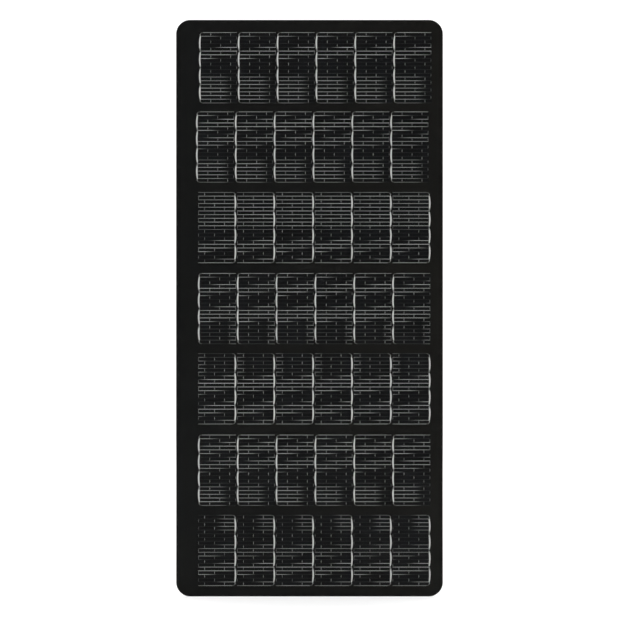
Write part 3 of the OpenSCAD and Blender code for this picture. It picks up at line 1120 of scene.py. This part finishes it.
class SOLAR_OT_rows(bpy.types.Operator):
    """Make the black core of every row"""

    bl_idname = "solar.rows"
    bl_label = "Rows"

    def execute(self, context):
        for row in ROWS:
            make_mask(row)
        return {"FINISHED"}


class SOLAR_OT_grids(bpy.types.Operator):
    """Make the wire grids of every row"""

    bl_idname = "solar.grids"
    bl_label = "Wire Grids"

    def execute(self, context):
        tree = grid_tree()
        for row in ROWS:
            make_grid(row, tree)
        return {"FINISHED"}


class SOLAR_OT_bands(bpy.types.Operator):
    """Make the bending bands between the rows, with the ribbons that cross them"""

    bl_idname = "solar.bands"
    bl_label = "Bending Bands"

    def execute(self, context):
        for band in BANDS:
            make_band(band)
            make_ribbons(band)
        return {"FINISHED"}


class SOLAR_OT_box(bpy.types.Operator):
    """Make the junction box's moulded parts and lid screws with soft edges"""

    bl_idname = "solar.box"
    bl_label = "Junction Box"

    def execute(self, context):
        for node, width, slot in JUNCTION_BOX:
            softened(node, width, slot)
        return {"FINISHED"}


class SOLAR_OT_finishes(bpy.types.Operator):
    """Give every CAD part that still shows the finish of its slot"""

    bl_idname = "solar.finishes"
    bl_label = "Finishes"

    def execute(self, context):
        for part in frame["record"]["subparts"]:
            mesh = frame["nodes"][part["node"]].data
            mesh.materials.clear()
            mesh.materials.append(finish_of(part["material_slot"]))
        return {"FINISHED"}


class SOLAR_OT_stage(bpy.types.Operator):
    """Make the floor, the lights and the camera"""

    bl_idname = "solar.stage"
    bl_label = "Stage"

    def execute(self, context):
        stage = context.scene.solar_stage
        make_camera(context.scene, stage)
        make_floor(stage)
        make_surroundings(context.scene, stage)
        for light in LIGHTS:
            make_light(*light)
        return {"FINISHED"}


def make_camera(scene, stage):
    data = bpy.data.cameras.new("camera")
    data.lens, data.sensor_width = stage.lens, SENSOR_WIDTH
    camera = bpy.data.objects.new("camera", data)
    middle = (SHEET_LOW + SHEET_TOP) / 2 - stage.view_drop
    distance = stage.view_width * data.lens / data.sensor_width
    camera.location = (0.0, FILM_FRONT - distance, middle)
    camera.rotation_euler = (math.pi / 2, 0, 0)
    data.clip_end = FAR_CLIP
    scene.collection.objects.link(camera)
    scene.camera = camera


def make_floor(stage):
    work = bmesh.new()
    bmesh.ops.create_circle(work, cap_ends=True, radius=stage.floor_radius, segments=96)
    bmesh.ops.translate(work, verts=work.verts, vec=(0, 0, SHEET_LOW))
    floor = piece_from("floor", work)
    made, g = new_surface("floor_paper")
    paper = g.noise(g.place(), 40.0, 4.0)
    principled(g, {"Base Color": g.mix(paper, grey(0.94), grey(0.96)), "Roughness": 0.9})
    floor.data.materials.append(made)
    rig.stage(floor)


def make_surroundings(scene, stage):
    """Soft light from above, and a plain white background for the camera."""
    world = bpy.data.worlds.new("surroundings")
    world.use_nodes = True
    world.node_tree.nodes.clear()
    g = Graph(world.node_tree)
    _, _, up = g.parts(g.node("ShaderNodeTexCoord").of("Generated"))
    light = stage.horizon + g.smooth(up, 0.15, 0.95) * (stage.sky - stage.horizon)
    seen = g.node("ShaderNodeLightPath").of("Is Camera Ray")
    strength = seen * stage.backdrop + (1.0 - seen) * light
    shine = g.node("ShaderNodeBackground", {}, {"Color": grey(1.0), "Strength": strength})
    g.node("ShaderNodeOutputWorld", {}, {"Surface": shine})
    scene.world = world


def make_light(name, place, size, power):
    data = bpy.data.lights.new(name, "AREA")
    data.shape, data.size, data.energy = "DISK", size, power
    light = bpy.data.objects.new(name, data)
    light.location = place
    light.rotation_euler = (-Vector(place)).to_track_quat("-Z", "Y").to_euler()
    bpy.context.scene.collection.objects.link(light)


class SOLAR_PT_panel(bpy.types.Panel):
    """Lists the operators that build the sheet, and their settings"""

    bl_idname = "SOLAR_PT_panel"
    bl_label = "Solar Sheet"
    bl_space_type = "VIEW_3D"
    bl_region_type = "UI"
    bl_category = "Solar Sheet"

    def draw(self, context):
        for operator in OPERATORS:
            self.layout.operator(operator.bl_idname)
        for name, group in SETTINGS.items():
            self.layout.label(text=group.__doc__)
            for setting in group.__annotations__:
                self.layout.prop(getattr(context.scene, name), setting)


OPERATORS = (
    SOLAR_OT_rows, SOLAR_OT_grids, SOLAR_OT_bands, SOLAR_OT_box, SOLAR_OT_finishes, SOLAR_OT_stage,
)
SETTINGS = {
    "solar_sheet": SheetSettings,
    "solar_grid": GridSettings,
    "solar_finishes": FinishSettings,
    "solar_stage": StageSettings,
}


def register():
    for kind in (*SETTINGS.values(), *OPERATORS, SOLAR_PT_panel):
        bpy.utils.register_class(kind)
    for name, group in SETTINGS.items():
        setattr(bpy.types.Scene, name, bpy.props.PointerProperty(type=group))


def unregister():
    for name in SETTINGS:
        delattr(bpy.types.Scene, name)
    for kind in (SOLAR_PT_panel, *reversed(OPERATORS), *reversed(SETTINGS.values())):
        bpy.utils.unregister_class(kind)


def main():
    """Builds the sheet and its stage, and writes the sizes of the CAD and visual models."""
    register()
    bpy.context.scene.view_settings.view_transform = "Standard"
    for operator in OPERATORS:
        group, name = operator.bl_idname.split(".")
        getattr(getattr(bpy.ops, group), name)()
    sizes = {"cad": [list(p) for p in cad_box], "visual": [list(p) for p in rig.bounds()]}
    with open("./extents.json", "w") as out:
        json.dump(sizes, out)


if __name__ == "__main__":
    main()
